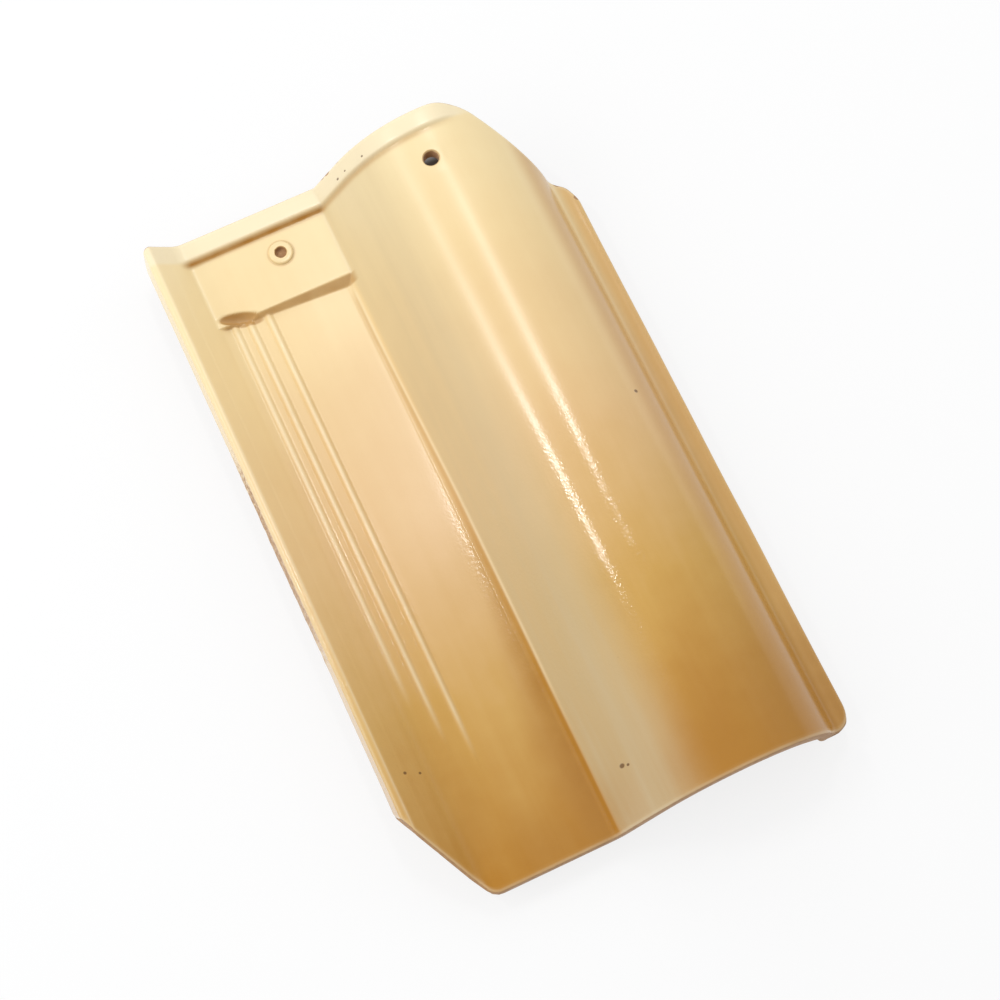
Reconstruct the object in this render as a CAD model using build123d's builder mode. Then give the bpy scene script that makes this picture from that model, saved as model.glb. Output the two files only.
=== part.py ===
from build123d import *
from math import atan2, cos, degrees, radians, sin, sqrt, tan
import os

# Glazed clay roof tile: a flat pan, a round roll beside it, a side lip, a ledge
# and a bead at the head. +X runs from pan to roll, +Y from tail to head.

# Overall size of the fired tile
tile_length = 436.0
tile_width = 260.0
wall = 10.0

# Roll: the wave that covers the lip of the next tile. A straight flank rises from
# a fold at the pan's edge; the crest's arc is tighter on the flange's side.
roll_left_radius = 72.5
roll_right_radius = 60.5
flank_angle = 50.0
fold_radius = 4.0

# Lip standing up along the left edge, with its trimmed outer face
lip_height = 23.5
lip_lean = 2.5
lip_crown = 4.5
lip_foot_from_left = 29.7
lip_outer_round = 2.5
lip_inner_round = 2.5
lip_foot_radius = 14.0
lip_face_bottom = 4.0
lip_under_from_left = 22.0
lip_under_radius = 8.0

# Flange along the right edge, lying on the lip of the next tile
flange_width = 12.5
flange_rise = 1.5
valley_radius = 11.0
hollow_round = 2.5
hollow_land = 0.5
flange_top_round = 3.0
flange_round = 2.5

# Corners of the plan: two are cut so that four tiles can lap
tail_cut_width = 33.0
tail_cut_length = 62.0
head_cut_start_share = 0.314
head_cut_waist_share = 0.975
head_cut_depth = 57.0
flange_end_depth = 62.5
flange_end_width = 5.0
flange_corner_depth = 73.0
cut_corner_radius = 9.0
edge_corner_radius = 11.0
waist_radius = 12.0
shoulder_radius = 35.0
flange_corner_radius = 9.0
head_corner_radius = 7.0

# Raised ledge at the head of the pan, where the tail of the next course lies
ledge_height = 5.0
ledge_length = 60.0
ledge_slope_left = 0.5
ledge_slope_right = 5.5
ledge_root = 2.0
ledge_from_left = 26.5
scoop_share = 0.125
scoop_from_head = 65.0
scoop_radius = 11.0

# Bead along the head edge, over pan and roll
bead_width = 15.4
bead_height = 4.0
bead_slope = 3.0
bead_edge_round = 2.5
bead_foot_round = 3.0
bead_root = 3.0
bead_sink = 2.0
bead_bend_radius = 8.0
bead_from_left = 21.0
bead_end_angle = 20.0

# Three low ribs along the pan, dipping below its face towards the tail
ridge_shares = [0.055, 0.177, 0.33]
ridge_end_from_tail = [105.0, 78.0, 62.0]
ridge_dip_length = 110.0
ridge_height = 1.5
ridge_radius = 3.0
ridge_sink = 0.3

# Nail mark in a round boss on the ledge, and the wire hole through the roll
boss_share = 0.623
boss_from_head = 30.2
boss_radius = 7.5
boss_height = 2.0
boss_round = 0.9
nail_hole_radius = 3.5
nail_hole_depth = 4.0
wire_hole_share = -0.097
wire_hole_from_head = 33.0
wire_hole_radius = 4.75

# Hanging nibs under the head of the pan
nib_depth = 12.0
nib_width = 26.0
nib_hook_from_head = 48.0
nib_tip = 9.0
nib_root = 18.0
nib_round = 2.5
nib_shares = [0.3, 0.8]

# Rounding of the tail's edges
rim_round = 2.0

# Levels above the floor
pan_under = nib_depth
pan_top = pan_under + wall
ledge_top = pan_top + ledge_height
lip_top = pan_top + lip_height
flange_top = pan_top + flange_rise
right_centre = pan_under + hollow_round + hollow_land
crest = right_centre + roll_right_radius
left_centre = crest - roll_left_radius

# Lines in plan, from the middle of the tile
left_edge = -tile_width / 2
right_edge = tile_width / 2
tail = -tile_length / 2
head = tile_length / 2
roll_x = right_edge - flange_width - roll_right_radius
pan_left = left_edge + lip_foot_from_left
leg_radius = roll_right_radius - wall / 2
hollow_radius = roll_right_radius - wall
valley_x = roll_x + sqrt(roll_right_radius**2 - (flange_top - right_centre) ** 2)
turn = radians(flank_angle)


def flank_x(level, depth):
    """Where the flank stands at a level, this deep below its face."""
    touch_x = roll_x - (roll_left_radius - depth) * sin(turn)
    touch_z = left_centre + (roll_left_radius - depth) * cos(turn)
    return touch_x - (touch_z - level) / tan(turn)


fold_x = flank_x(pan_top, 0)
pan_width = fold_x - pan_left


def wave(depth):
    """The roll's line at a depth below its face: up the flank, over the crest, down and back below."""
    start = (flank_x(pan_under, depth), pan_under)
    radius = roll_right_radius - depth
    over = CenterArc((roll_x, left_centre), roll_left_radius - depth, 90 + flank_angle, -flank_angle)
    down = CenterArc((roll_x, right_centre), radius, 90, -90)
    Polyline(down @ 1, (roll_x + radius, pan_under), start, over @ 0)


def corner(sketch, x, z):
    """The vertex of a section that lies nearest to a point."""
    return sketch.vertices().sort_by_distance((x, z, 0))[0]


# Section of the tile, looking along its length
with BuildSketch(Plane.XZ) as section:
    with BuildLine():
        Polyline(
            (left_edge, pan_top + lip_face_bottom),
            (left_edge + lip_lean, lip_top),
            (left_edge + lip_lean + lip_crown, lip_top),
            (pan_left, pan_top),
            (fold_x, pan_top),
            (fold_x, pan_under),
            (left_edge + lip_under_from_left, pan_under),
            close=True,
        )
    make_face()
    with BuildLine():
        Polyline(
            (roll_x + leg_radius, pan_under),
            (roll_x + leg_radius, flange_top),
            (right_edge, flange_top),
            (right_edge, pan_under),
            close=True,
        )
    make_face()
    with BuildLine():
        wave(0)
    make_face()
    with BuildLine():
        wave(wall)
    make_face(mode=Mode.SUBTRACT)
    fillet(corner(section, fold_x, pan_top), fold_radius)
    fillet(corner(section, flank_x(pan_under, wall), pan_under), fold_radius + wall)
    fillet(corner(section, left_edge + lip_lean, lip_top), lip_outer_round)
    fillet(corner(section, left_edge + lip_lean + lip_crown, lip_top), lip_inner_round)
    fillet(corner(section, pan_left, pan_top), lip_foot_radius)
    fillet(corner(section, left_edge + lip_under_from_left, pan_under), lip_under_radius)
    fillet(corner(section, valley_x, flange_top), valley_radius)
    fillet(corner(section, roll_x + hollow_radius, pan_under), hollow_round)
    fillet(corner(section, right_edge, flange_top), flange_top_round)
    fillet(corner(section, right_edge, pan_under), flange_round)

# Ledge: a raised part of the pan, up to the flank. The step at its tail end is
# steep at the left and leans further and further back towards the roll.
ledge_left = left_edge + ledge_from_left
ledge_right = flank_x(ledge_top, wall / 4)
slope_widening = (ledge_slope_right - ledge_slope_left) / (fold_x - ledge_left)
ledge_slope_end = ledge_slope_left + slope_widening * (roll_x - ledge_left)
with BuildSketch(Plane.XZ.offset(-head)) as ledge_section:
    with BuildLine():
        Polyline(
            (ledge_left, pan_top - ledge_root),
            (ledge_left, ledge_top),
            (ledge_right, ledge_top),
            (ledge_right, pan_top - ledge_root),
            close=True,
        )
    make_face()
with BuildPart() as ledge:
    extrude(ledge_section.sketch, amount=ledge_length + ledge_slope_end)
    for slope_x, slope in ((ledge_left, ledge_slope_left), (roll_x, ledge_slope_end)):
        with BuildSketch(Plane.YZ.offset(slope_x)):
            with BuildLine():
                Polyline(
                    (head - ledge_length - slope, pan_top),
                    (head - ledge_length - slope + slope * crest / ledge_height, pan_top + crest),
                    (tail, pan_top + crest),
                    (tail, pan_top),
                    close=True,
                )
            make_face()
    loft(ruled=True, mode=Mode.SUBTRACT)

# Path of the bead: along the ledge, up the roll's flank and over its crest
bead_corner = flank_x(ledge_top, bead_sink)
with BuildLine(Plane.XZ.offset(bead_width / 2 - head)) as bead_path:
    bead_over = CenterArc((roll_x, left_centre), roll_left_radius - bead_sink, 90 + flank_angle, -flank_angle)
    CenterArc((roll_x, right_centre), roll_right_radius - bead_sink, 90, bead_end_angle - 90)
    Polyline((left_edge + bead_from_left, ledge_top), (bead_corner, ledge_top), bead_over @ 0)
    fillet(corner(bead_path, bead_corner, ledge_top), bead_bend_radius)
with BuildSketch(Plane.YZ.offset(left_edge + bead_from_left)) as bead_cap:
    with BuildLine():
        Polyline(
            (head, ledge_top - bead_root),
            (head, ledge_top + bead_height),
            (head - bead_width + bead_slope, ledge_top + bead_height),
            (head - bead_width, ledge_top),
            (head - bead_width, ledge_top - bead_root),
            close=True,
        )
    make_face()
    fillet(corner(bead_cap, head, ledge_top + bead_height), bead_edge_round)
    fillet(corner(bead_cap, head - bead_width + bead_slope, ledge_top + bead_height), bead_foot_round)

# Outline of the tile seen from above, with the two lapping corners cut away
with BuildSketch() as outline:
    with BuildLine():
        FilletPolyline(
            (left_edge, tail + tail_cut_length),
            (left_edge + tail_cut_width, tail),
            (right_edge, tail),
            (right_edge, head - flange_corner_depth),
            (right_edge - flange_end_width, head - flange_end_depth),
            (roll_x + head_cut_waist_share * roll_right_radius, head - head_cut_depth),
            (roll_x + head_cut_start_share * roll_right_radius, head),
            (left_edge, head),
            radius=[
                cut_corner_radius,
                cut_corner_radius,
                edge_corner_radius,
                flange_corner_radius,
                flange_corner_radius,
                waist_radius,
                shoulder_radius,
                head_corner_radius,
            ],
            close=True,
        )
    make_face()

# Side view of a nib: upright hook face to the tail, sloping back to the head
nib_hook = head - nib_hook_from_head
with BuildSketch(Plane.YZ) as nib_side:
    with BuildLine():
        Polyline(
            (nib_hook, pan_under + wall / 2),
            (nib_hook, 0),
            (nib_hook + nib_tip, 0),
            (nib_hook + nib_root, pan_under),
            (nib_hook + nib_root, pan_under + wall / 2),
            close=True,
        )
    make_face()

with BuildPart() as nib:
    extrude(nib_side.sketch, amount=nib_width / 2, both=True)
    fillet(nib.edges().filter_by_position(Axis.Z, 0, 0), nib_round)

# Boss for the nail mark, from its top down into the ledge
with BuildPart() as boss:
    Cylinder(boss_radius, boss_height + wall / 2, align=(Align.CENTER, Align.CENTER, Align.MAX))
    fillet(boss.faces().sort_by(Axis.Z)[-1].edges(), boss_round)

# Ribs of the pan: round bars that dip below its face along an arc
ridge_start = head - ledge_length
bar_level = pan_top + ridge_height - ridge_radius
dip = ridge_height + ridge_sink
dip_radius = (ridge_dip_length**2 + dip**2) / (2 * dip)
dip_angle = 2 * degrees(atan2(dip, ridge_dip_length))

# The bead, cut off at the outline
with BuildPart() as bead:
    sweep(bead_cap.sketch, path=bead_path.line)
    extrude(outline.sketch, amount=crest + bead_height, mode=Mode.INTERSECT)

# The tile itself
with BuildPart() as roof_tile:
    extrude(section.sketch, amount=tile_length / 2, both=True)
    tail_face = roof_tile.faces().sort_by(Axis.Y)[0]
    fillet(tail_face.edges(), rim_round)
    extrude(outline.sketch, amount=crest + bead_height, mode=Mode.INTERSECT)
    for share, end_from_tail in zip(ridge_shares, ridge_end_from_tail):
        bar_x = pan_left + share * pan_width
        dip_start = tail + end_from_tail + ridge_dip_length
        with BuildLine(Plane.YZ.offset(bar_x)) as bar_path:
            Line((ridge_start, bar_level), (dip_start, bar_level))
            JernArc((dip_start, bar_level), (-1, 0), dip_radius, dip_angle)
        with BuildSketch(Plane(origin=(bar_x, ridge_start, bar_level), z_dir=(0, -1, 0))):
            Circle(ridge_radius)
        sweep(path=bar_path.line)
    add(ledge.part)
    with Locations((pan_left + scoop_share * pan_width, head - scoop_from_head, pan_top + scoop_radius)):
        Sphere(scoop_radius, mode=Mode.SUBTRACT)
    add(bead.part)

    # Boss with its blind nail mark, and the wire hole
    with Locations((pan_left + boss_share * pan_width, head - boss_from_head, ledge_top + boss_height)):
        add(boss.part)
        Hole(nail_hole_radius, nail_hole_depth)
    with Locations((roll_x + wire_hole_share * roll_left_radius, head - wire_hole_from_head, crest + wall)):
        Hole(wire_hole_radius, roll_right_radius)

    # Hanging nibs
    with Locations([(pan_left + share * pan_width, 0, 0) for share in nib_shares]):
        add(nib.part)

roof_tile.part.label = "roof_tile"
os.makedirs("parts", exist_ok=True)
export_step(roof_tile.part, "parts/roof_tile.step")
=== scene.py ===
import bpy
import numpy as np
from mathutils import Matrix, Vector


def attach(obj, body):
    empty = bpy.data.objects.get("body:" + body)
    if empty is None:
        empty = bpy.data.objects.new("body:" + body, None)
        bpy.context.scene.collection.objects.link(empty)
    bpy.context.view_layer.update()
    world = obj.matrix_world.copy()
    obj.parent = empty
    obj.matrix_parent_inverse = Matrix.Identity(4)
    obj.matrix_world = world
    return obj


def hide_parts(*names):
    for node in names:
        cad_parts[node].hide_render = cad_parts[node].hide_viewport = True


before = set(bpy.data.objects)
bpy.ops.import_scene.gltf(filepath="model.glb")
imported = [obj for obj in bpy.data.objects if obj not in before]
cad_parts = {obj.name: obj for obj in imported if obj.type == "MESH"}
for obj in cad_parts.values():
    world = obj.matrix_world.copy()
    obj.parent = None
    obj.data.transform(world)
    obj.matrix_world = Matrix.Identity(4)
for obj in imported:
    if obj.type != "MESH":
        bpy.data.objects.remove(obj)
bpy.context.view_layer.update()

# The tile: one bat of clay, pressed in a mould and fired once. A flat pan, a
# round roll beside it and a lip are one section; a ledge, a bead and ribs are
# pressed into the face. Sizes are in millimetres, in the frame of the part.
mm = 0.001
tile_length = 436.0
tile_width = 260.0
wall = 10.0
left = -tile_width / 2
right = tile_width / 2
tail = -tile_length / 2
head = tile_length / 2
pan_under = 12.0
pan_top = pan_under + wall
roll_x = 57.0
left_radius = 72.5
right_radius = 60.5
hollow_round = 2.5
right_centre = pan_under + hollow_round + 0.5
crest = right_centre + right_radius
left_centre = crest - left_radius
flank_angle = 50.0
fold_radius = 4.0
lip_bottom = pan_top + 4.0
lip_top = pan_top + 23.5
lip_lean = 2.5
lip_crown = 4.5
lip_rounds = [2.5, 2.5]
lip_foot_radius = 14.0
lip_under_from_left = 22.0
lip_under_round = 8.0
pan_left = left + 29.7
flange_top = pan_top + 1.5
flange_rounds = [3.0, 2.5]
valley_radius = 11.0
corner_points = 60
arc_points = 240
fine_step = 0.1


def rounded(corners, radii):
    """A line through corners; an arc that touches both sides rounds each of them but the two ends."""
    corners = np.array(corners, float)
    points = [corners[:1]]
    for before, corner, after, radius in zip(corners[:-2], corners[1:-1], corners[2:], radii):
        back = (before - corner) / np.linalg.norm(before - corner)
        onward = (after - corner) / np.linalg.norm(after - corner)
        half = np.arccos(back @ onward) / 2
        bisector = (back + onward) / np.linalg.norm(back + onward)
        middle = corner + bisector * radius / np.sin(half)
        first = np.arctan2(*(corner + back * radius / np.tan(half) - middle)[::-1])
        last = np.arctan2(*(corner + onward * radius / np.tan(half) - middle)[::-1])
        turn = (last - first + np.pi) % (2 * np.pi) - np.pi
        angle = first + turn * np.linspace(0, 1, corner_points)
        points.append(middle + radius * np.stack([np.cos(angle), np.sin(angle)], axis=1))
    points.append(corners[-1:])
    return np.concatenate(points)


def arc(centre, radius, start, stop):
    """Points of a circle from one angle to another, in degrees."""
    angle = np.radians(np.linspace(start, stop, arc_points))
    return np.array(centre) + radius * np.stack([np.cos(angle), np.sin(angle)], axis=1)


def lengths(curve):
    """Length of a curve from its start to each of its points."""
    steps = np.hypot(*np.diff(curve, axis=0).T)
    return np.concatenate([[0], np.cumsum(steps)])


def at(curve, stations):
    """Points of a curve at these lengths from its start."""
    travelled = lengths(curve)
    return np.stack([np.interp(stations, travelled, curve[:, k]) for k in (0, 1)], axis=1)


def spread(curve, spacing, trim):
    """Stations on a curve, its ends trimmed, at equal shares of the running sum of one over the spacing."""
    fine = np.arange(trim, lengths(curve)[-1] - trim, fine_step)
    share = np.cumsum(fine_step / spacing(at(curve, fine)[:, 0]))
    wanted = np.linspace(share[0], share[-1], int(share[-1]))
    return np.interp(wanted, share, fine)


def nearest(curve, point):
    """Length along a curve to its point nearest to a given one."""
    fine = np.arange(0, lengths(curve)[-1], fine_step)
    return fine[np.argmin(np.hypot(*(at(curve, fine) - point).T))]


def flank_x(level, depth):
    """Where the straight flank of the roll stands at a level, this deep below its face."""
    turn = np.radians(flank_angle)
    touch_x = roll_x - (left_radius - depth) * np.sin(turn)
    touch_z = left_centre + (left_radius - depth) * np.cos(turn)
    return touch_x - (touch_z - level) / np.tan(turn)


def wave(depth, end_angle):
    """The roll's arcs at a depth below its face, from the top of the flank over the crest to an angle."""
    return np.concatenate([
        arc((roll_x, left_centre), left_radius - depth, 90 + flank_angle, 90)[:-1],
        arc((roll_x, right_centre), right_radius - depth, 90, end_angle),
    ])


fold_x = flank_x(pan_top, 0)
pan_width = fold_x - pan_left
valley_rise = flange_top + valley_radius - right_centre
valley_x = roll_x + np.sqrt((right_radius + valley_radius) ** 2 - valley_rise**2)
valley_turn = np.degrees(np.arcsin(valley_rise / (right_radius + valley_radius)))
face_wave = wave(0, valley_turn)
face_curve = np.concatenate([
    rounded(
        [
            (left, lip_bottom),
            (left + lip_lean, lip_top),
            (left + lip_lean + lip_crown, lip_top),
            (pan_left, pan_top),
            (fold_x, pan_top),
            face_wave[0],
        ],
        [*lip_rounds, lip_foot_radius, fold_radius],
    )[:-1],
    face_wave,
    arc((valley_x, flange_top + valley_radius), valley_radius, 180 + valley_turn, 270)[1:],
    rounded(
        [(valley_x, flange_top), (right, flange_top), (right, pan_under + flange_rounds[1])],
        flange_rounds[:1],
    )[1:],
])
under_fold_x = flank_x(pan_under, wall)
belly_wave = wave(wall, 0)
belly_curve = np.concatenate([
    rounded(
        [
            (left, lip_bottom),
            (left + lip_under_from_left, pan_under),
            (under_fold_x, pan_under),
            belly_wave[0],
        ],
        [lip_under_round, fold_radius + wall],
    )[:-1],
    belly_wave,
    rounded(
        [
            belly_wave[-1],
            (belly_wave[-1, 0], pan_under),
            (right, pan_under),
            (right, pan_under + flange_rounds[1]),
        ],
        [hollow_round, flange_rounds[1]],
    )[1:],
])

# Plan of the tile: two corners are cut so that four tiles can lap
tail_cut_width = 33.0
tail_cut_length = 62.0
tail_corner_rounds = [9.0, 9.0, 11.0]
head_cut_shares = (0.314, 0.975)
head_cut_length = 57.0
flange_cut_width = 5.0
flange_cut_lengths = (62.5, 73.0)
head_corner_rounds = [7.0, 35.0, 12.0, 9.0, 9.0]
tail_line = rounded(
    [
        (left, head),
        (left, tail + tail_cut_length),
        (left + tail_cut_width, tail),
        (right, tail),
        (right, head),
    ],
    tail_corner_rounds,
)[1:-1]
head_line = rounded(
    [
        (left, tail),
        (left, head),
        (roll_x + head_cut_shares[0] * right_radius, head),
        (roll_x + head_cut_shares[1] * right_radius, head - head_cut_length),
        (right - flange_cut_width, head - flange_cut_lengths[0]),
        (right, head - flange_cut_lengths[1]),
        (right, tail),
    ],
    head_corner_rounds,
)[1:-1]

# Relief of the face
rib_x = pan_left + np.array([0.055, 0.177, 0.33]) * pan_width
rib_end = tail + np.array([105.0, 78.0, 62.0])
rib_dip_length = 110.0
rib_height = 1.5
rib_radius = 3.0
rib_sink = 0.3
rib_soft = 0.5
ledge_height = 5.0
ledge_top = pan_top + ledge_height
ledge_length = 60.0
ledge_left = left + 26.5
ledge_right = flank_x(ledge_top, 0)
ledge_span = (left + 15.0, ledge_right + 5.0)
ledge_soft = 0.7
slope_ends = (0.5, 5.5)
slope_least = 1.0
slope_soft = 1.0
scoop_at = (pan_left + 0.125 * pan_width, head - 58.9)
scoop_half = (12.8, 4.3)
scoop_slant = -0.28
scoop_depth = 6.0
scoop_reach = 2.0
scoop_soft = 1.6
boss_at = (pan_left + 0.623 * pan_width, head - 30.2)
boss_radius = 7.5
boss_height = 2.0
boss_round = 1.2
boss_soft = 0.5
nail_radius = 3.5
nail_depth = 4.0
wire_at = (roll_x - 0.097 * left_radius, head - 33.0)
wire_radius = 4.75
bead_width = 15.4
bead_height = 4.0
bead_flat = bead_width - 3.0
bead_slope_run = 12.0
bead_rounds = [2.5, 2.0]
bead_soft = 0.8
bead_soft_at_lip = 4.8
bead_sink = 2.0
bead_sink_past_crest = 5.0
bead_roll_soft = 0.5
bead_corner_soft = 0.6
bead_least_upright = 0.45
bead_section = rounded(
    [
        (0, 0),
        (0, bead_height),
        (bead_flat, bead_height),
        (bead_flat + bead_slope_run, -3 * bead_height),
    ],
    bead_rounds,
)[1:]


def ease(value, low, high):
    """Rises smoothly from 0 at low to 1 at high, level at both ends."""
    share = np.clip((value - low) / (high - low), 0, 1)
    return share * share * (3 - 2 * share)


def between(value, start, full, fading, end):
    """Rises smoothly from 0 at start to 1 at full, and falls again from fading to 0 at end."""
    return ease(value, start, full) * (1 - ease(value, fading, end))


def bump(value, centre, half):
    """A bell: 1 at the centre, falling away over its half width."""
    return np.exp(-(((value - centre) / half) ** 2))


def join(first, second, soft):
    """The higher of two surfaces, the corner between them eased over a height."""
    near = np.clip(soft - np.abs(first - second), 0, None)
    return np.maximum(first, second) + near**2 / (4 * soft)


def cut(first, second, soft):
    """The lower of two surfaces, with the same eased corner."""
    return -join(-first, -second, soft)


def ripple(x, y, size, seed):
    """Random heights from -1 to 1 on a square lattice of this size, eased between its knots."""
    count = 97
    knots = np.random.default_rng(seed).uniform(-1, 1, (count, count))
    column = np.floor(x / size).astype(int)
    row = np.floor(y / size).astype(int)
    across = x / size - column
    along = y / size - row
    across = across**3 * (across * (across * 6 - 15) + 10)
    along = along**3 * (along * (along * 6 - 15) + 10)
    column, next_column = column % count, (column + 1) % count
    row, next_row = row % count, (row + 1) % count
    near = knots[column, row] * (1 - across) + knots[next_column, row] * across
    far = knots[column, next_row] * (1 - across) + knots[next_column, next_row] * across
    return near * (1 - along) + far * along


def rib_level(y, end):
    """Height of a rib's top: level, then dipping below the pan by the square of the way into the dip."""
    way = np.clip((end + rib_dip_length - y) / rib_dip_length, 0, None)
    return rib_height - (rib_height + rib_sink) * way**2


def scooped(x, y):
    """Where a point lies in the slanting scoop: the square of its share of the way to the oval rim."""
    run = x - scoop_at[0]
    fall = y - scoop_at[1] - scoop_slant * run
    return (run / scoop_half[0]) ** 2 + (fall / scoop_half[1]) ** 2


def slope_length(x):
    """Length of the ledge's step: shortest at its left end, growing in proportion towards the roll."""
    share = (x - ledge_left) / (fold_x - ledge_left)
    return np.clip(slope_ends[0] + (slope_ends[1] - slope_ends[0]) * share, slope_least, None)


def pressed(x, y, section):
    """Height of the moulded face: section, ribs, ledge with its step, scoop and boss, joined softly."""
    height = section
    for middle, end in zip(rib_x, rib_end):
        round_top = np.sqrt(np.clip(rib_radius**2 - (x - middle) ** 2, 0, None)) - rib_radius
        rib = join(height, pan_top + rib_level(y, end) + round_top, rib_soft)
        on_rib = (np.abs(x - middle) < rib_radius) & (y < head - ledge_length)
        height = np.where(on_rib, rib, height)
    slope = pan_top + (y - head + ledge_length + slope_length(x)) * ledge_height / slope_length(x)
    on_ledge = (x > ledge_span[0]) & (x < ledge_span[1])
    height = join(height, np.where(on_ledge, cut(ledge_top, slope, slope_soft), 0), ledge_soft)
    bowl = ledge_top + scoop_depth * (scooped(x, y) - 1)
    height = np.where(bowl < ledge_top + scoop_reach, cut(height, bowl, scoop_soft), height)
    off_boss = np.hypot(x - boss_at[0], y - boss_at[1])
    over = np.clip(off_boss - boss_radius + boss_round, 0, None)
    rim = np.sqrt(np.clip(boss_round**2 - over**2, 0, None)) - boss_round
    boss = np.where(over < boss_round, ledge_top + boss_height + rim, 0)
    return join(height, boss, boss_soft)


def bead_lift(x, y, height, upright):
    """How far the bead along the head stands up.

    On the ledge it is a band with a level top, eased into the lip. On the roll it stands off the
    slope, so its height is divided by how upright the slope's normal is, and it sinks past the crest.
    """
    cap = np.interp(head - y, *bead_section.T)
    soft = bead_soft + (bead_soft_at_lip - bead_soft) * (1 - ease(x, left + 24, left + 44))
    on_pan = join(height, ledge_top + cap, soft) - height
    past_crest = ease(x, roll_x + 5, roll_x + 31)
    sink = bead_sink + (bead_sink_past_crest - bead_sink) * past_crest
    on_roll = join(cap - sink, 0, bead_roll_soft) / np.clip(upright, bead_least_upright, 1)
    on_roll = np.where(x < ledge_right - 4, 0, on_roll)
    return np.where(x < ledge_span[0], 0, join(on_pan, on_roll, bead_corner_soft))


arris_offset = 1.0
arris_swing = 2.2


def arris_x(y):
    """Where the fold shows in the glaze: it swings a little up the flank from the ledge to mid length."""
    return fold_x + arris_offset + arris_swing * ease(head - y, 80, 230)


# How thick the glaze pools at each place, with painted shade in some recesses, and how pale it thins, with
# painted highlights, as shares of the most
step_pool_and_shade = 0.6
scoop_pool_and_shade = 0.7
boss_pool_and_shade = 0.3
fold_pools = (0.32, 0.82)
valley_shade = 0.2
channel_pool = 0.12
tail_pools = (0.45, 0.65)
patch_pool = 0.6
patch_at = (55.0, tail + 21.0)
patch_half = (17.0, 9.0)
edge_pale_and_highlight = 0.6
corner_pale_and_highlight = 0.8
lip_pale_and_highlight = 0.7
rim_pale_and_highlight = 0.6


def pooled_and_shaded(x, y, height):
    """How thick the glaze pools and how much shade is painted with it, 0 to 1: the most of its bands, each a
    share times bells and eased ends. At the bead's foot, the step, the scoop and the boss's foot it is partly
    pooled glaze and partly painted shade; in the valley it is painted shade.
    """
    from_head = head - y
    from_tail = y - tail
    bead_foot = bump(from_head, bead_width - 0.6, 1.8) * between(x, left + 19, left + 27, 40, 82)
    bead_foot = bead_foot * (1 - 0.55 * ease(x, ledge_right - 2, ledge_right + 4))
    step_foot = ledge_length + slope_length(x)
    step = between(from_head, ledge_length - 0.4, ledge_length + 0.6, step_foot - 0.4, step_foot + 1.2)
    step = step_pool_and_shade * step * between(x, ledge_left, ledge_left + 4, ledge_right - 1, ledge_right + 3)
    scoop = scoop_pool_and_shade * (1 - ease(scooped(x, y), 0.8, 1.25)) * ease(ledge_top - height, 0.1, 1.2)
    boss = boss_pool_and_shade * bump(np.hypot(x - boss_at[0], y - boss_at[1]), boss_radius + 0.6, 0.6)
    arris = arris_x(y)
    fold_reach = 4.5 + 32 * ease(from_head, 200, 420)
    fold = ease((x - arris) / fold_reach, -1, -0.1) * (1 - ease(x, arris - 0.6, arris + 0.5))
    fold = fold * (fold_pools[0] + (fold_pools[1] - fold_pools[0]) * ease(from_head, 190, 400))
    fold = fold * ease(from_head, 66, 80)
    # Painted shade in the valley between the roll and the flange
    valley = valley_shade * bump(x, valley_x - 4, 5) * ease(from_head, 60, 200)
    channel = channel_pool * bump(x, left + 42, 8) * ease(from_head, 230, 420)
    tail_reach = 50 + 75 * ease(x, 20, 55)
    tail_end = tail_pools[0] + (tail_pools[1] - tail_pools[0]) * ease(x, 20, 50)
    tail_end = tail_end * (1 - ease(from_tail, 8, tail_reach)) * ease(x, left + 40, left + 65)
    tail_end = tail_end * (1 - 0.85 * bump(x, 4, 20))
    patch = patch_pool * bump(x, patch_at[0], patch_half[0]) * bump(y, patch_at[1], patch_half[1])
    bands = [bead_foot, step, scoop, boss, fold, valley, channel, tail_end, patch]
    return np.clip(np.maximum.reduce(bands), 0, 1)


def thinned_and_highlit(x, y):
    """Where the glaze runs thin and pale, with painted highlights, 0 to 1: lines on ribs, fold and lip and at
    the ledge's two ends, each partly thin glaze and partly a painted highlight.
    """
    from_head = head - y
    ribs = 0
    for middle, end in zip(rib_x, rib_end):
        ribs = ribs + bump(x, middle + 0.5, 1.4) * ease(rib_level(y, end), 0, 1)
    ribs = ribs * ease(from_head, 63, 68)
    fold = bump(x, arris_x(y) + 0.5, 0.8) * ease(from_head, 62, 75)
    fold = fold * (1 - 0.8 * ease(from_head, 310, 390))
    edge = edge_pale_and_highlight * bump(x, ledge_left - 0.6, 0.8) * between(from_head, 15, 19, 51, 55)
    corner = corner_pale_and_highlight * bump(x, ledge_right - 0.3, 0.8) * between(from_head, 15, 19, 58, 62)
    lip = lip_pale_and_highlight * np.maximum(bump(x, left + 3.4, 0.7), bump(x, left + 7, 0.8))
    return np.clip(np.maximum.reduce([ribs, fold, edge, corner, lip]), 0, 1)


# Grid of the glazed face: columns follow the section, rows run from tail to head
column_steps = {"lip": 0.95, "pan": 1.35, "rib": 0.6, "fold": 0.45, "flank": 0.9, "roll": 2.0, "flange": 0.9}
row_steps = {"pan": 2.8, "ledge": 0.78, "step": 0.38}
edge_trim = 0.6
rim_rows = np.array([0.0, 0.12, 0.4, 0.8, 1.3, 1.9, 2.6])
rim_trim = 4.2


def face_spacing(x):
    """Distance between columns: fine at the lip, the ribs, the fold and the flange, wide over the roll."""
    spacing = np.where(x < rib_x[0] - 5, column_steps["lip"], column_steps["pan"])
    from_rib = np.abs(x[:, None] - rib_x).min(axis=1)
    spacing = np.where(from_rib < 4.5, column_steps["rib"], spacing)
    spacing = np.where(x > fold_x - 3.5, column_steps["fold"], spacing)
    spacing = np.where(x > fold_x + 3.5, column_steps["flank"], spacing)
    spacing = np.where(x > ledge_right + 6, column_steps["roll"], spacing)
    return np.where(x > valley_x - 8, column_steps["flange"], spacing)


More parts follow.
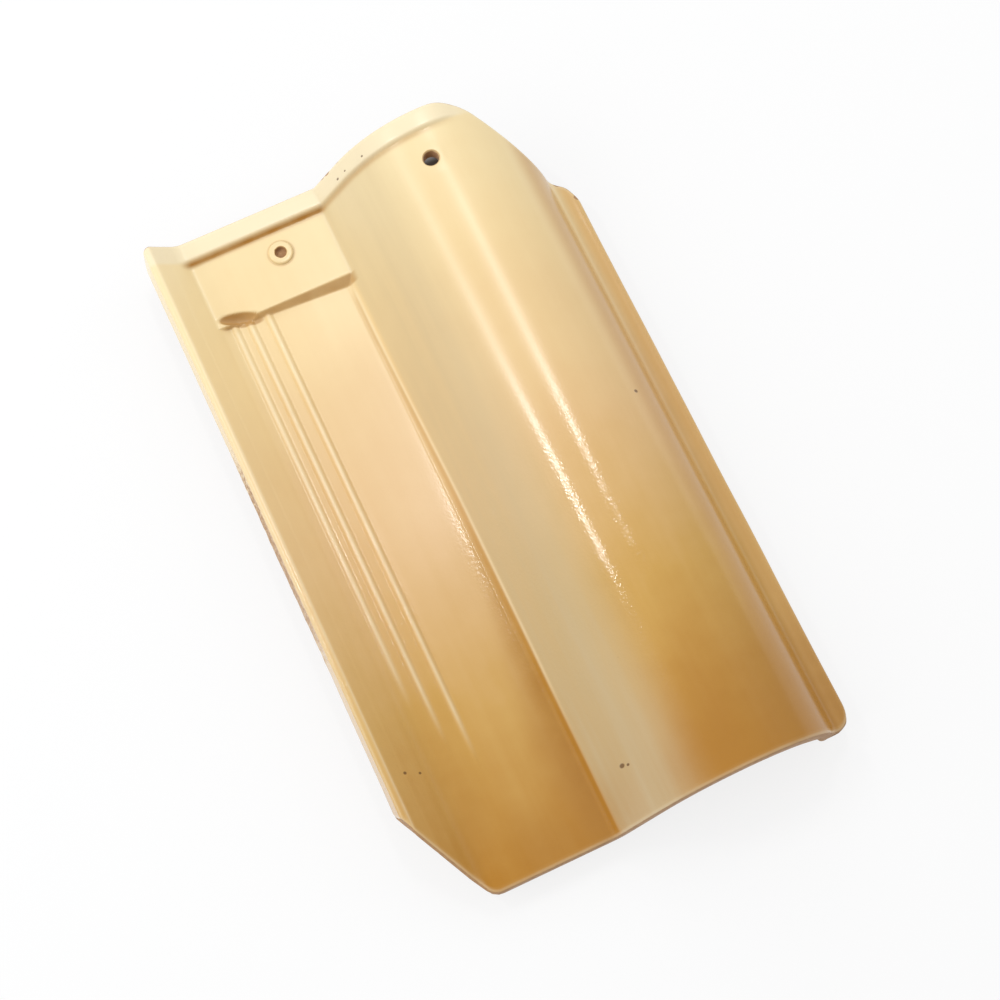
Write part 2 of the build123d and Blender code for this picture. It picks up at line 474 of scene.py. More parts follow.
def row_spacing(way):
    """Distance between rows: wide over most of the tile, closing up towards the ledge, most at its step."""
    from_head = tile_length - way
    near_ledge = 1 - ease(from_head, 85, 150)
    spacing = row_steps["pan"] - (row_steps["pan"] - row_steps["ledge"]) * near_ledge
    return spacing - (row_steps["ledge"] - row_steps["step"]) * bump(from_head, ledge_length - 1, 9)


row_line = np.array([[0, 0], [tile_length, 0]])
middle_rows = spread(row_line, row_spacing, rim_trim)
face_rows = np.concatenate([rim_rows, middle_rows, tile_length - rim_rows[::-1]])
face_stations = spread(face_curve, face_spacing, edge_trim)
face_column = at(face_curve, face_stations)


def rows_of(stations, column, rows):
    """Lengthwise place of every grid point between the plan's tail and head lines, and its way to each."""
    first = np.interp(column[:, 0], *tail_line.T)
    last = np.interp(column[:, 0], *head_line.T)
    y = first[:, None] + (last - first)[:, None] * rows / tile_length
    from_tail = (y - first[:, None]) / np.hypot(1, np.gradient(first, stations))[:, None]
    from_head = (last[:, None] - y) / np.hypot(1, np.gradient(last, stations))[:, None]
    return y, from_tail, from_head


def rounding(way, radius):
    """How far a rounded edge has fallen at this way from it: a quarter circle."""
    return radius - np.sqrt(radius**2 - np.clip(radius - way, 0, radius) ** 2)


face_y, face_from_tail, face_from_head = rows_of(face_stations, face_column, face_rows)
face_x = np.repeat(face_column[:, :1], len(face_rows), axis=1)
face_z = pressed(face_x, face_y, face_column[:, 1:])


def outward(x, z):
    """Unit normal of each column's section: its tangent turned by a quarter."""
    run = np.gradient(x, axis=0)
    rise = np.gradient(z, axis=0)
    size = np.hypot(run, rise)
    return -rise / size, run / size


normal_x, normal_z = outward(face_x, face_z)
face_pool_and_shade = pooled_and_shaded(face_x, face_y, face_z)
face_thin_and_highlight = thinned_and_highlit(face_x, face_y)
face_z = face_z + bead_lift(face_x, face_y, face_z, normal_z)
normal_x, normal_z = outward(face_x, face_z)
stretch = np.repeat(face_stations[:, None], len(face_rows), axis=1)
lip_face = 1 - ease(stretch, 15, 20)
mid_length = between(head - face_y, 80, 180, 230, 360)
lip_wear = (0.1, 0.6)
rough_lip = lip_face * (lip_wear[0] + (lip_wear[1] - lip_wear[0]) * mid_length)
end_way = np.minimum(face_from_tail, face_from_head)
tail_round = 2.0
head_round = 1.2
warp_height = 0.15
warp_size = 47
grit_height = 0.28
grit_size = 3.1
sink = rounding(face_from_tail, tail_round) + rounding(face_from_head, head_round)
sink = sink + warp_height * (1 + ripple(stretch, face_y, warp_size, 3)) * ease(end_way, 0, 20)
sink = sink + grit_height * rough_lip * (1 + ripple(stretch, face_y, grit_size, 5))
face_x = face_x - sink * normal_x
face_z = face_z - sink * normal_z
# A pale band along the rounded tail and head edges, partly thin glaze and partly a painted highlight
face_rim_and_highlight = np.maximum(rim_pale_and_highlight * bump(end_way, 1.1, 1.0), face_thin_and_highlight)
face_bare = np.clip(1 - ease(end_way, 0.2, 1.1) + rough_lip, 0, 1)

# Grid of the underside, and the pairing of its border with the face's
belly_step = 3.2
belly_trim = 4.5
belly_row_count = 86
belly_round = 1.3
belly_round_at_flange = 5.8


def belly_spacing(x):
    """Distance between the underside's columns: the same everywhere."""
    return np.full_like(x, belly_step)


belly_stations = spread(belly_curve, belly_spacing, edge_trim)
middle_rows = np.linspace(belly_trim, tile_length - belly_trim, belly_row_count)
belly_rows = np.concatenate([rim_rows[:5], middle_rows, tile_length - rim_rows[4::-1]])
belly_column = at(belly_curve, belly_stations)
belly_y, belly_from_tail, belly_from_head = rows_of(belly_stations, belly_column, belly_rows)
belly_x = np.repeat(belly_column[:, :1], len(belly_rows), axis=1)
belly_z = np.repeat(belly_column[:, 1:], len(belly_rows), axis=1)
normal_x, normal_z = outward(belly_x, belly_z)
belly_tail_round = belly_round + (belly_round_at_flange - belly_round) * ease(belly_x, 95, 112)
sink = rounding(belly_from_tail, belly_tail_round) + rounding(belly_from_head, belly_round)
belly_x = belly_x + sink * normal_x
belly_z = belly_z + sink * normal_z

landmarks = [
    ((left, lip_bottom), (left, lip_bottom)),
    ((pan_left, pan_top), (left + lip_under_from_left, pan_under)),
    ((fold_x, pan_top), (under_fold_x, pan_under)),
    ((roll_x, crest), (roll_x, crest - wall)),
    ((valley_x, flange_top), (belly_wave[-1, 0], pan_under)),
    ((right, pan_under + flange_rounds[1]), (right, pan_under + flange_rounds[1])),
]
face_marks = [nearest(face_curve, pair[0]) for pair in landmarks]
belly_marks = [nearest(belly_curve, pair[1]) for pair in landmarks]
marks = np.linspace(0, 1, len(landmarks))
face_share = np.interp(face_stations, face_marks, marks)
belly_share = np.interp(belly_stations, belly_marks, marks)


def border(numbers, shares, rows):
    """Border of a grid, once round from the tail's left corner, and a place from 0 to 4 for each point."""
    loop = np.concatenate([numbers[:-1, 0], numbers[-1, :-1], numbers[:0:-1, -1], numbers[0, ::-1]])
    way = rows / tile_length
    place = np.concatenate([shares[:-1], 1 + way[:-1], 3 - shares[:0:-1], 4 - way[::-1]])
    return loop, place


def zipped(first, first_place, second, second_place):
    """Triangles between two lines of points: at each step the line whose next point comes sooner moves on."""
    order = np.argsort(np.concatenate([first_place[1:], second_place[1:]]), kind="stable")
    moves_first = order < len(first) - 1
    past_first = np.cumsum(moves_first)
    past_second = np.cumsum(~moves_first)
    ahead = np.where(moves_first, first[past_first], second[past_second])
    before = first[past_first - moves_first], second[past_second - ~moves_first]
    return np.stack([*before, ahead], axis=1)


def quads(numbers):
    """Faces of a grid of point numbers, each four counted round from its lowest row and column."""
    return np.stack(
        [numbers[:-1, :-1], numbers[1:, :-1], numbers[1:, 1:], numbers[:-1, 1:]], axis=-1
    )


# Each point carries shares of bare clay, of pooled glaze with painted shade, and of thin pale glaze with
# painted highlights (rim)
points = []
bare = []
pool = []
rim = []


def put(x, y, z, bare_share, pool_and_shade_share, rim_and_highlight_share):
    """Adds points to the tile and gives their numbers, in the arrays' own shape."""
    shape = np.broadcast(x, y, z).shape
    counted = sum(len(part) for part in points)
    points.append(np.stack([np.broadcast_to(a, shape).ravel() for a in (x, y, z)], axis=1))
    for store, share in ((bare, bare_share), (pool, pool_and_shade_share), (rim, rim_and_highlight_share)):
        store.append(np.broadcast_to(share, shape).ravel())
    return counted + np.arange(np.prod(shape)).reshape(shape)


face_numbers = put(face_x, face_y, face_z, face_bare, face_pool_and_shade, face_rim_and_highlight)
belly_numbers = put(belly_x, belly_y, belly_z, 1.0, 0.0, 0.0)
face_quads = quads(face_numbers)
belly_quads = quads(belly_numbers)[..., ::-1]
face_border = border(face_numbers, face_share, face_rows)
belly_border = border(belly_numbers, belly_share, belly_rows)
triangles = [zipped(*face_border, *belly_border)]

# Holes: a window is left out of the grid, and rings lead from its border into the hole
round_steps = 56
round_angle = np.linspace(-np.pi, np.pi, round_steps + 1)


def window(numbers, x, y, centre, half):
    """The border of the grid's window round a centre, once round by angle, and the kept faces' mask."""
    columns = np.nonzero(np.abs(x[:, 0] - centre[0]) < half)[0]
    rows = np.nonzero(np.abs(y[columns[0]] - centre[1]) < half)[0]
    low, high, first, last = columns[0], columns[-1], rows[0], rows[-1]
    keep = np.ones((numbers.shape[0] - 1, numbers.shape[1] - 1), bool)
    keep[low:high, first:last] = False
    inside = numbers[low:high + 1, first:last + 1]
    loop = np.concatenate([inside[:-1, 0], inside[-1, :-1], inside[:0:-1, -1], inside[0, :0:-1]])
    where = np.concatenate(points)[loop]
    angle = np.arctan2(where[:, 1] - centre[1], where[:, 0] - centre[0])
    start = np.argmin(angle)
    loop = np.roll(loop, -start)
    angle = np.roll(angle, -start)
    return np.append(loop, loop[0]), np.append(angle, angle[0] + 2 * np.pi), keep


def rings(centre, radii):
    """Places in plan of rings of these radii round a centre, one row for each ring."""
    radii = np.array(radii)[:, None]
    return centre[0] + radii * np.cos(round_angle[:-1]), centre[1] + radii * np.sin(round_angle[:-1])


def closed(numbers):
    """The same rows with their first point again at the end."""
    return np.concatenate([numbers, numbers[:, :1]], axis=1)


def roll_level(x, depth):
    """Height of the roll's left arc at a depth below its face: its centre and the circle's half chord."""
    return left_centre + np.sqrt((left_radius - depth) ** 2 - (x - roll_x) ** 2)


# Nail mark: a blind hole in a round boss on the ledge
boss_window = 11.0
loop, angle, keep_boss = window(face_numbers, face_x, face_y, boss_at, boss_window)
boss_rings = [9.4, 8.9, 8.5, 8.2, 7.9, 7.65, 7.5, 7.42, 7.3, 7.1, 6.8, 6.5, 5.6, 4.7, 4.3, 4.05]
ring_x, ring_y = rings(boss_at, boss_rings)
ring_z = pressed(ring_x, ring_y, pan_top)
ring_bare = 0.25 * ease(-np.array(boss_rings), -4.6, -4.0)[:, None]
boss_face = put(ring_x, ring_y, ring_z, ring_bare, pooled_and_shaded(ring_x, ring_y, ring_z), 0.0)
well_radii = nail_radius + np.array([0.3, 0.1, 0, -0.05, -0.1, -0.2, -0.45, -1.0, -2.0, -3.0])
well_depth = nail_depth * np.array([0.03, 0.09, 0.2, 0.4, 0.6, 0.78, 0.9, 0.92, 0.82, 0.7])[:, None]
well_grit = 0.05
well_grit_size = 19
ring_x, ring_y = rings(boss_at, well_radii)
round_way, down_way = np.broadcast_arrays(np.degrees(round_angle[:-1]), well_depth * 7)
well_rough = 1 + well_grit * ripple(round_way, down_way, well_grit_size, 8)
ring_x = boss_at[0] + (ring_x - boss_at[0]) * well_rough
ring_y = boss_at[1] + (ring_y - boss_at[1]) * well_rough
well_bare = ease(well_depth, 0.2, 0.9)
boss_top = ledge_top + boss_height
# The hole's upper wall is darker amber, in the pool-and-shade share; its deeper wall and floor are bare clay
boss_well = put(ring_x, ring_y, boss_top - well_depth, well_bare, 0.8 * (1 - well_bare), 0.0)
well_middle = (*boss_at, boss_top - 0.65 * nail_depth)
well_floor = put(*(np.array([[value]]) for value in well_middle), 1.0, 0.0, 0.0)
triangles.append(zipped(np.append(boss_face[0], boss_face[0, 0]), round_angle, loop, angle))
boss_quads = quads(closed(np.concatenate([boss_face, boss_well])))[..., [1, 0, 3, 2]]
last_ring = np.append(boss_well[-1], boss_well[-1, 0])
floor_point = np.full(round_steps, well_floor[0, 0])
triangles.append(np.stack([last_ring[:-1], last_ring[1:], floor_point], axis=1))

# Wire hole: straight through the roll near its crest
wire_window = 10.5
exit_window = 12.0
wire_round = 0.9
wall_ring_count = 6
wall_trims = (1.0, 0.6)
loop, angle, keep_wire = window(face_numbers, face_x, face_y, wire_at, wire_window)
wire_rings = [8.0, 6.8, 6.1, 5.7, 5.4, 5.2, 5.05, 4.92]
ring_x, ring_y = rings(wire_at, wire_rings)
ring_round = rounding(np.array(wire_rings) - wire_radius, wire_round)[:, None]
ring_bare = 0.3 * ease(ring_round, 0.3, wire_round)
# A darker ring at the hole's mouth, and darker at the top of its wall, in the pool-and-shade share
wire_mouth_darkening = 0.6 * bump(np.array(wire_rings), 5.1, 0.35)[:, None]
wire_face = put(ring_x, ring_y, roll_level(ring_x, 0) - ring_round, ring_bare, wire_mouth_darkening, 0.0)
ring_x, ring_y = rings(wire_at, [wire_radius] * wall_ring_count)
upper = roll_level(ring_x, 0) - wall_trims[0]
lower = roll_level(ring_x, wall) + wall_trims[1]
fall = np.linspace(0, 1, wall_ring_count)[:, None]
ring_z = upper + (lower - upper) * fall
wire_wall = put(ring_x, ring_y, ring_z, 0.5 + 0.5 * ease(fall, 0, 0.3), 0.3 * (1 - fall), 0.0)
exit_rings = [5.0, 5.4, 6.2]
ring_x, ring_y = rings(wire_at, exit_rings)
wire_exit = put(ring_x, ring_y, roll_level(ring_x, wall), 1.0, 0.0, 0.0)
triangles.append(zipped(np.append(wire_face[0], wire_face[0, 0]), round_angle, loop, angle))
wire_quads = quads(closed(np.concatenate([wire_face, wire_wall, wire_exit])))[..., [1, 0, 3, 2]]
loop, angle, keep_exit = window(belly_numbers, belly_x, belly_y, wire_at, exit_window)
triangles.append(zipped(loop, angle, np.append(wire_exit[-1], wire_exit[-1, 0]), round_angle))

four_sided = np.concatenate([
    face_quads[keep_boss & keep_wire],
    belly_quads[keep_exit],
    boss_quads.reshape(-1, 4),
    wire_quads.reshape(-1, 4),
])
three_sided = np.concatenate(triangles)
corners = np.concatenate([four_sided.ravel(), three_sided.ravel()])
used, renumbered = np.unique(corners, return_inverse=True)
four_sided = renumbered[:four_sided.size].reshape(-1, 4)
three_sided = renumbered[-three_sided.size:].reshape(-1, 3)
places = np.concatenate(points)[used] * mm

tile_mesh = bpy.data.meshes.new("glazed_tile")
tile_mesh.from_pydata(places.tolist(), [], four_sided.tolist() + three_sided.tolist())
for name, store in (("bare", bare), ("pool", pool), ("rim", rim)):
    values = np.concatenate(store)[used].astype(np.float32)
    tile_mesh.attributes.new(name, "FLOAT", "POINT").data.foreach_set("value", values)
tile_mesh.shade_smooth()
tile = bpy.data.objects.new("glazed_tile", tile_mesh)
bpy.context.scene.collection.objects.link(tile)


class Socket:
    """An output of a material's nodes: arithmetic on it adds Math nodes, node() adds any other."""

    def __init__(self, tree, output):
        self.tree = tree
        self.output = output

    def node(self, kind, settings, inputs, output=0):
        """Adds a node, its settings first and then its inputs by value or link, and wraps an output."""
        made = self.tree.nodes.new(kind)
        for name, value in settings.items():
            if name == "stops":
                for position, _ in value[1:-1]:
                    made.color_ramp.elements.new(position)
                for element, (position, colour) in zip(made.color_ramp.elements, value):
                    element.position = position
                    element.color = (*colour, 1)
            else:
                setattr(made, name, value)
        for name, value in inputs.items():
            if isinstance(value, Socket):
                self.tree.links.new(value.output, made.inputs[name])
            else:
                made.inputs[name].default_value = value
        return Socket(self.tree, made.outputs[output])

    def math(self, operation, first, second=0.0):
        """Adds a Math node that works on two values."""
        return self.node("ShaderNodeMath", {"operation": operation}, {0: first, 1: second})

    def __add__(self, other):
        return self.math("ADD", self, other)

    def __radd__(self, other):
        return self.math("ADD", other, self)

    def __sub__(self, other):
        return self.math("SUBTRACT", self, other)

    def __rsub__(self, other):
        return self.math("SUBTRACT", other, self)

    def __mul__(self, other):
        return self.math("MULTIPLY", self, other)

    def __rmul__(self, other):
        return self.math("MULTIPLY", other, self)

    def ease(self, low, high):
        """A mask that rises smoothly from 0 at low to 1 at high."""
        limits = {"Value": self, "From Min": low, "From Max": high}
        return self.node("ShaderNodeMapRange", {"interpolation_type": "SMOOTHSTEP"}, limits)

    def between(self, start, full, fading, end):
        """A mask that rises from 0 at start to 1 at full, and falls again from fading to 0 at end."""
        return self.ease(start, full) * (1 - self.ease(fading, end))

    def mix(self, base, over):
        """The base colour where this mask is 0, the other where it is 1."""
        colours = {6: base, 7: over}
        for name, colour in colours.items():
            if not isinstance(colour, Socket):
                colours[name] = (*colour, 1)
        return self.node("ShaderNodeMix", {"data_type": "RGBA"}, {0: self, **colours}, 2)


# Glaze and clay: a cream glass fired on the upper face, which turns to amber
# towards the tail, where it runs and pools. Rims and the underside are bare
# clay. Places are in metres here, as Object coordinates are.
glaze = bpy.data.materials.new("cream_glaze_on_clay")
glaze.use_nodes = True
shader = glaze.node_tree.nodes["Principled BSDF"]
coordinates = glaze.node_tree.nodes.new("ShaderNodeTexCoord")
place = Socket(glaze.node_tree, coordinates.outputs["Object"])
across = place.node("ShaderNodeSeparateXYZ", {}, {0: place}, "X")
along = place.node("ShaderNodeSeparateXYZ", {}, {0: place}, "Y")
bare_mask = place.node("ShaderNodeAttribute", {"attribute_name": "bare"}, {}, "Fac")
pool_and_shade_mask = place.node("ShaderNodeAttribute", {"attribute_name": "pool"}, {}, "Fac")
rim_and_highlight_mask = place.node("ShaderNodeAttribute", {"attribute_name": "rim"}, {}, "Fac")


def mottle(scale, detail, roughness=0.5):
    """Cloudy noise from 0 to 1, with this many clouds to the metre."""
    settings = {"Vector": place, "Scale": scale, "Detail": detail, "Roughness": roughness}
    return place.node("ShaderNodeTexNoise", {}, settings, "Fac")


head_to_tail_glaze = [
    (0.0, (0.92, 0.75, 0.43)),
    (0.2, (0.87, 0.655, 0.34)),
    (0.5, (0.765, 0.505, 0.235)),
    (0.75, (0.62, 0.36, 0.09)),
    (1.0, (0.48, 0.21, 0.018)),
]
flank_painted_reflection = (0.60, 0.485, 0.29)
valley_shade_amber = (0.50, 0.23, 0.02)
lip_painted_light = (0.98, 0.80, 0.46)
pan_painted_shade = (0.60, 0.35, 0.11)
bead_highlight_cream = (0.94, 0.83, 0.6)
flange_tan = (0.72, 0.44, 0.155)
amber_pool_and_shade = (0.44, 0.20, 0.03)
thin_cream_and_highlight = (0.95, 0.81, 0.54)
clay_dark = (0.33, 0.16, 0.065)
clay_light = (0.60, 0.37, 0.185)
speck_brown = (0.30, 0.17, 0.07)
pit_brown = (0.13, 0.06, 0.025)

clouds = mottle(14, 3)
fine_clouds = mottle(70, 4)
drawn_out = place.node("ShaderNodeVectorMath", {"operation": "MULTIPLY"}, {0: place, 1: (1, 0.05, 1)})
runs = place.node("ShaderNodeTexNoise", {}, {"Vector": drawn_out, "Scale": 110, "Detail": 3}, "Fac")
way = (head * mm - along) * (1 / (tile_length * mm))
way = way + (clouds - 0.5) * 0.2 + (fine_clouds - 0.5) * 0.06 + (runs - 0.5) * 0.1
cream = place.node("ShaderNodeValToRGB", {"stops": head_to_tail_glaze}, {"Fac": way})
# Painted reflection: a greenish grey on the roll's left flank stands in for the sheen of the window on the
# left
flank = across.between(-0.0195, -0.0165, 0.005, 0.045)
colour = (flank * (0.42 + 0.38 * way) * (0.7 + 0.6 * runs)).mix(cream, flank_painted_reflection)
# Painted shade: darker amber low on the roll's right flank
right_flank_shade = across.between(0.094, 0.107, 0.114, 0.118)
colour = (right_flank_shade * 0.6).mix(colour, valley_shade_amber)
# Painted light: the lip's inner flank is painted paler, most at the head, where the lamps light it little
lip_flank_painted_light = 1 - across.ease(-0.108, -0.098)
colour = (lip_flank_painted_light * (0.42 - 0.36 * way)).mix(colour, lip_painted_light)
# Painted shade: a darker tan over the middle of the pan, which offsets the lamps' sheen there
pan = across.between(-0.098, -0.088, -0.028, -0.022) * along.between(-0.14, -0.04, 0.08, 0.15)
colour = (pan * 0.25).mix(colour, pan_painted_shade)
# Painted highlight: the bead along the head is painted paler cream
bead_painted_highlight = along.ease(0.2035, 0.2065) * (1 - across.ease(0.075, 0.09))
colour = (bead_painted_highlight * 0.6).mix(colour, bead_highlight_cream)
flange = across.ease(0.116, 0.124)
colour = (flange * 0.75).mix(colour, flange_tan)
# Darker amber where the glaze pools, partly painted shade in the recesses
amber = pool_and_shade_mask * (0.7 + 0.6 * fine_clouds)
colour = amber.mix(colour, amber_pool_and_shade)
# Pale lines on edges, ribs, fold and lip: partly thin glaze, partly painted highlights
pale_rim_and_highlight = rim_and_highlight_mask * (0.35 + 0.5 * fine_clouds)
colour = (pale_rim_and_highlight * 0.85).mix(colour, thin_cream_and_highlight)
clay_tone = mottle(260, 5, 0.65)
clay = clay_tone.mix(clay_dark, clay_light)
flat_place = place.node("ShaderNodeVectorMath", {"operation": "MULTIPLY"}, {0: place, 1: (1, 1, 0)})


def spots(marks):
    """Round marks on the glaze, each at a place in plan, in millimetres, fading out from half its radius."""
    shares = []
    for x, y, radius in marks:
        ends = {0: flat_place, 1: (x * mm, y * mm, 0)}
        away = place.node("ShaderNodeVectorMath", {"operation": "DISTANCE"}, ends, "Value")
        shares.append(1 - away.ease(radius / 2 * mm, radius * mm))
    return sum(shares[1:], shares[0])


head_chips = [(-10, head, 2.2), (-6.5, head, 2.8), (1, head, 1.7), (9.5, head, 1.4)]
flange_chips = [(121, 159, 3.2), (116, 163, 2.6), (129, 146, 2.6)]
bead_pits = [(-2.5, 208.5, 0.9), (2.8, 208.8, 0.7), (14.7, 208.5, 0.8)]
roll_pits = [(98.8, 6.5, 1.4), (-3.1, -185.2, 1.7), (-0.2, -186.4, 1.0)]
lip_pits = [(-114.5, -136, 1.2), (-106.6, -138.3, 1.0)]
chips = spots(head_chips + flange_chips)
pits = spots(bead_pits + roll_pits) + spots(lip_pits)
clay_mask = (bare_mask + chips + (mottle(420, 3) - 0.5) * 0.7).ease(0.42, 0.62)
colour = clay_mask.mix(colour, clay)
cells = {"Vector": place, "Scale": 26, "Randomness": 1.0}
specks = place.node("ShaderNodeTexVoronoi", {}, cells, "Distance")
speck_mask = 1 - specks.ease(0.01, 0.025)
colour = (speck_mask * (1 - clay_mask) * 0.35).mix(colour, speck_brown)
colour = (pits * 0.8).mix(colour, pit_brown)

# Gloss: towards the tail the glaze shines, broken by orange peel, but for the flat
# of the pan and the valley. The rest is satin.
satin_roughness = 0.26
gloss_drop = 0.16
clay_rise = 0.4
peel = mottle(560, 2)
swell = mottle(70, 2)
grain = mottle(900, 3)
flat_pan = across.between(-0.074, -0.066, -0.034, -0.022)
gloss = (1 - 0.9 * flat_pan) * (1 - along.ease(-0.05, 0.08)) * (1 - 0.9 * across.ease(0.088, 0.106))
gloss = gloss * (0.35 + 0.65 * along.ease(-0.19, -0.12))
rough_clay = clay_tone * 1.6 + grain * 1.2 - 0.8
relief = (peel * 0.8 + swell * 0.2) * (0.1 + 0.9 * gloss) + clay_mask * rough_clay
relief = relief - speck_mask * 0.4 - pits
relief_height = 0.6 * mm
normal = place.node("ShaderNodeBump", {}, {"Strength": 0.2, "Distance": relief_height, "Height": relief})
roughness = satin_roughness - gloss_drop * gloss + clay_mask * clay_rise
glaze_links = glaze.node_tree.links
glaze_links.new(colour.output, shader.inputs["Base Color"])
glaze_links.new(roughness.output, shader.inputs["Roughness"])
glaze_links.new(normal.output, shader.inputs["Normal"])
tile_mesh.materials.append(glaze)
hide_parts("roof_tile")
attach(tile, "root")

# Hanging nibs: two hooks pressed under the head of the pan, which catch the
# roof's batten. They are the same bare clay as the underside.
nib_width = 26.0
nib_hook = head - 48.0
nib_foot = 9.0
nib_length = 18.0
nib_root = pan_under + 2.0
nib_rounds = [2.5, 2.5, 2.0]
nib_shares = (0.3, 0.8)
nib_station_count = 60
nib_side = rounded(
    [
        (nib_hook, nib_root),
        (nib_hook, 0.0),
        (nib_hook + nib_foot, 0.0),
        (nib_hook + nib_length, pan_under),
        (nib_hook + nib_length, nib_root),
    ],
    nib_rounds,
)
nib_stations = np.linspace(0, lengths(nib_side)[-1], nib_station_count)
nib_profile = at(nib_side, nib_stations)
nib_middle = np.array([nib_hook + 8.0, nib_root])

# Their sides are rounded: slices across the nib shrink towards its middle
nib_inset = np.array([2.0, 0.9, 0.35, 0.1, 0.0])
nib_across = np.array([0.0, 0.15, 0.5, 1.1, 2.0])
nib_run = np.concatenate([nib_across, nib_width - nib_across[::-1]])
nib_shrink = 1 - np.concatenate([nib_inset, nib_inset[::-1]]) / pan_under
nib_points = []
nib_faces = []
for share in nib_shares:
    middle = pan_left + share * pan_width
    spread_profile = nib_middle + (nib_profile - nib_middle)[None] * nib_shrink[:, None, None]
    grid_x = np.broadcast_to(middle - nib_width / 2 + nib_run[:, None], spread_profile.shape[:2])
    grid = np.concatenate([grid_x[..., None], spread_profile], axis=-1)
    caps = np.stack([[middle - nib_width / 2, *nib_middle], [middle + nib_width / 2, *nib_middle]])
    numbers = sum(len(part) for part in nib_points) + np.arange(grid.shape[0] * grid.shape[1])
    numbers = numbers.reshape(grid.shape[:2])
    first_cap = numbers.max() + 1
    nib_points.extend([grid.reshape(-1, 3), caps])
    loops = closed(numbers)
    nib_faces.extend(quads(loops)[..., ::-1].reshape(-1, 4).tolist())
    nib_faces.extend([[first_cap, b, a] for a, b in zip(loops[0, :-1], loops[0, 1:])])
    nib_faces.extend([[first_cap + 1, a, b] for a, b in zip(loops[-1, :-1], loops[-1, 1:])])
nib_places = np.concatenate(nib_points) * mm
nib_mesh = bpy.data.meshes.new("hanging_nibs")
nib_mesh.from_pydata(nib_places.tolist(), [], [[int(number) for number in face] for face in nib_faces])
values = np.ones(len(nib_mesh.vertices), np.float32)
nib_mesh.attributes.new("bare", "FLOAT", "POINT").data.foreach_set("value", values)
nib_mesh.shade_smooth()
nib_mesh.materials.append(glaze)
nibs = bpy.data.objects.new("hanging_nibs", nib_mesh)
bpy.context.scene.collection.objects.link(nibs)
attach(nibs, "root")

# Studio: a white table, a soft sky, three large soft lamps and two strip lamps overhead, whose reflections
# are the streaks on the glaze. Under the roll's head end the table carries a painted shadow, dark and without
# its white glow, so that the wire hole looks into shade.
floor_half = 40
floor_corners = [(-1, -1), (1, -1), (1, 1), (-1, 1)]
floor_mesh = bpy.data.meshes.new("floor")
floor_mesh.from_pydata([(x * floor_half, y * floor_half, 0) for x, y in floor_corners], [], [(0, 1, 2, 3)])
floor = bpy.data.objects.new("floor", floor_mesh)
bpy.context.scene.collection.objects.link(floor)
table_white = (0.9, 0.9, 0.9)
table_shade = (0.04, 0.028, 0.02)
table_glow = 0.8
paper = bpy.data.materials.new("white_table")
paper.use_nodes = True
paper_shader = paper.node_tree.nodes["Principled BSDF"]
paper_shader.inputs["Roughness"].default_value = 0.9
ray = paper.node_tree.nodes.new("ShaderNodeLightPath")
seen = Socket(paper.node_tree, ray.outputs["Is Camera Ray"])
seen = seen + Socket(paper.node_tree, ray.outputs["Is Glossy Ray"])
seen = seen + Socket(paper.node_tree, ray.outputs["Is Transmission Ray"])
table = Socket(paper.node_tree, paper.node_tree.nodes.new("ShaderNodeTexCoord").outputs["Object"])
table_across = table.node("ShaderNodeSeparateXYZ", {}, {0: table}, "X")
table_along = table.node("ShaderNodeSeparateXYZ", {}, {0: table}, "Y")
shade = table_across.between(0.02, 0.058, 0.066, 0.1) * table_along.between(-0.15, 0.1, 0.215, 0.235)
white = paper.node_tree.nodes.new("ShaderNodeEmission")
white.inputs["Color"].default_value = (1, 1, 1, 1)
blend = paper.node_tree.nodes.new("ShaderNodeMixShader")
paper_links = paper.node_tree.links
paper_links.new(shade.mix(table_white, table_shade).output, paper_shader.inputs["Base Color"])
paper_links.new((seen * (table_glow - table_glow * shade)).output, blend.inputs[0])
paper_links.new(paper_shader.outputs[0], blend.inputs[1])
paper_links.new(white.outputs[0], blend.inputs[2])
paper_links.new(blend.outputs[0], paper.node_tree.nodes["Material Output"].inputs["Surface"])
floor_mesh.materials.append(paper)

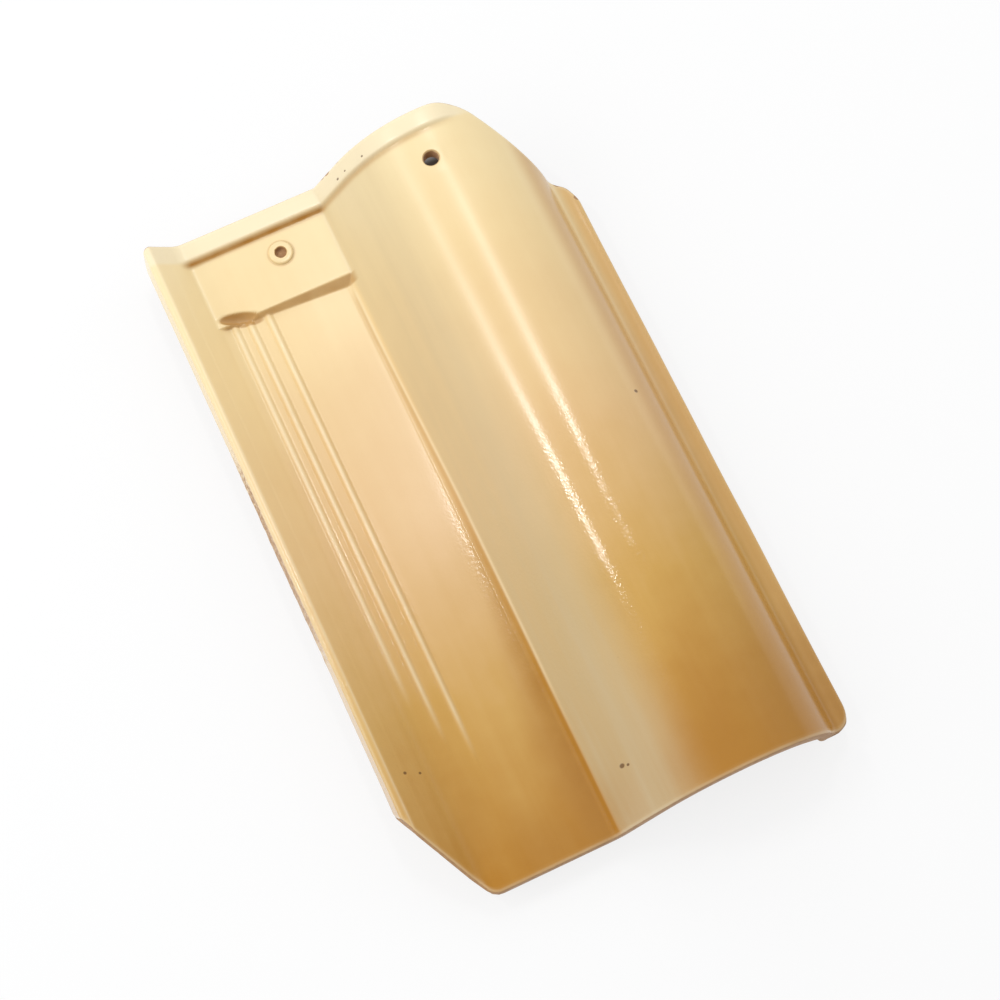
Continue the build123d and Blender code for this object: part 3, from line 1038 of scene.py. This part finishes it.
world = bpy.data.worlds.new("sky")
bpy.context.scene.world = world
world.use_nodes = True
sky = world.node_tree.nodes["Background"]
sky.inputs["Color"].default_value = (0.97, 0.98, 1.0, 1)
sky.inputs["Strength"].default_value = 0.5


def lamp(name, spot, target, long_way, size, power):
    """A rectangular lamp at a spot, facing a target, with its long side turned along a direction."""
    data = bpy.data.lights.new(name, "AREA")
    data.shape = "RECTANGLE"
    data.size = size[0]
    data.size_y = size[1]
    data.energy = power
    made = bpy.data.objects.new(name, data)
    back = (Vector(spot) - Vector(target)).normalized()
    short_way = back.cross(Vector(long_way)).normalized()
    turn = Matrix([short_way.cross(back), short_way, back]).transposed()
    made.matrix_world = Matrix.Translation(spot) @ turn.to_4x4()
    bpy.context.scene.collection.objects.link(made)
    return made


tile_spot = (0, 0, 0)
lamp("head_window", (0.1, 1.7, 1.5), tile_spot, (1, 0, 0), (1.6, 1.2), 7)
side_window = lamp("side_window", (-1.5, 0.1, 1.2), tile_spot, (0, 1, 0), (1.4, 1.2), 13)
right_window = lamp("right_window", (1.4, 0.1, 1.0), tile_spot, (0, 1, 0), (1.2, 1.0), 4.5)
for window_lamp in (side_window, right_window):
    window_lamp.visible_glossy = False
lamp("left_strip", (-0.69, 0.54, 1.5), (-0.69, 0.54, 0), (-0.15, 0.5, 0), (0.54, 0.045), 4.2)
lamp("crest_strip", (0.19, 0.56, 1.5), (0.19, 0.56, 0), (0.07, 0.4, 0), (0.43, 0.045), 3.3)

# Camera: it looks down from the tail side. Its three directions are unit vectors.
camera_data = bpy.data.cameras.new("camera")
camera_data.sensor_width = 36
camera_data.lens = 75.6
camera = bpy.data.objects.new("camera", camera_data)
camera_right = (0.9054, -0.4245, -0.0038)
camera_down = (-0.4082, -0.8683, -0.2819)
camera_ahead = (0.1164, 0.2568, -0.9594)
camera_spot = (-0.1409, -0.3287, 1.2132)
camera_columns = np.array([camera_right, camera_down, camera_ahead, camera_spot]).T * [1, -1, -1, 1]
camera.matrix_world = Matrix([*camera_columns.tolist(), [0, 0, 0, 1]])
bpy.context.scene.collection.objects.link(camera)
bpy.context.scene.camera = camera
bpy.context.scene.view_settings.view_transform = "Standard"
